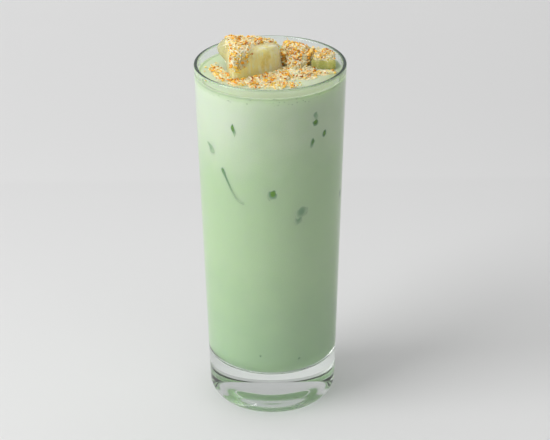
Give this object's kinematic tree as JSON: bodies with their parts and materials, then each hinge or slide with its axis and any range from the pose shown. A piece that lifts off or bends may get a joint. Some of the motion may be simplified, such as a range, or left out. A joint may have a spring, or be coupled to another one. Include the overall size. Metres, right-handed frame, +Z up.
{
  "type": "buko pandan drink",
  "caption": "Tall straight tumbler of pale green coconut and pandan drink, with ice and toasted coconut on top.",
  "frame": {"origin": "middle of the underside of the glass, on the surface that it stands on", "axes": "+Z up along the axis of the glass; -Y is the side that the picture looks at; +X is to its right"},
  "size_m": [0.066, 0.066, 0.1708],
  "materials": {
    "clear_glass": "polished clear soda-lime glass",
    "pandan_drink": "milky liquid, wet sheen, paler towards the top",
    "cloudy_ice": "cloudy wet ice tinted by the drink",
    "toasted_coconut": "dry toasted shreds and crumbs, cream to golden brown"
  },
  "bodies": {
    "root": {"glass": "clear_glass", "drink": "pandan_drink", "ice_left": "cloudy_ice", "ice_back": "toasted_coconut", "ice_right": "cloudy_ice"}
  },
  "joints": []
}
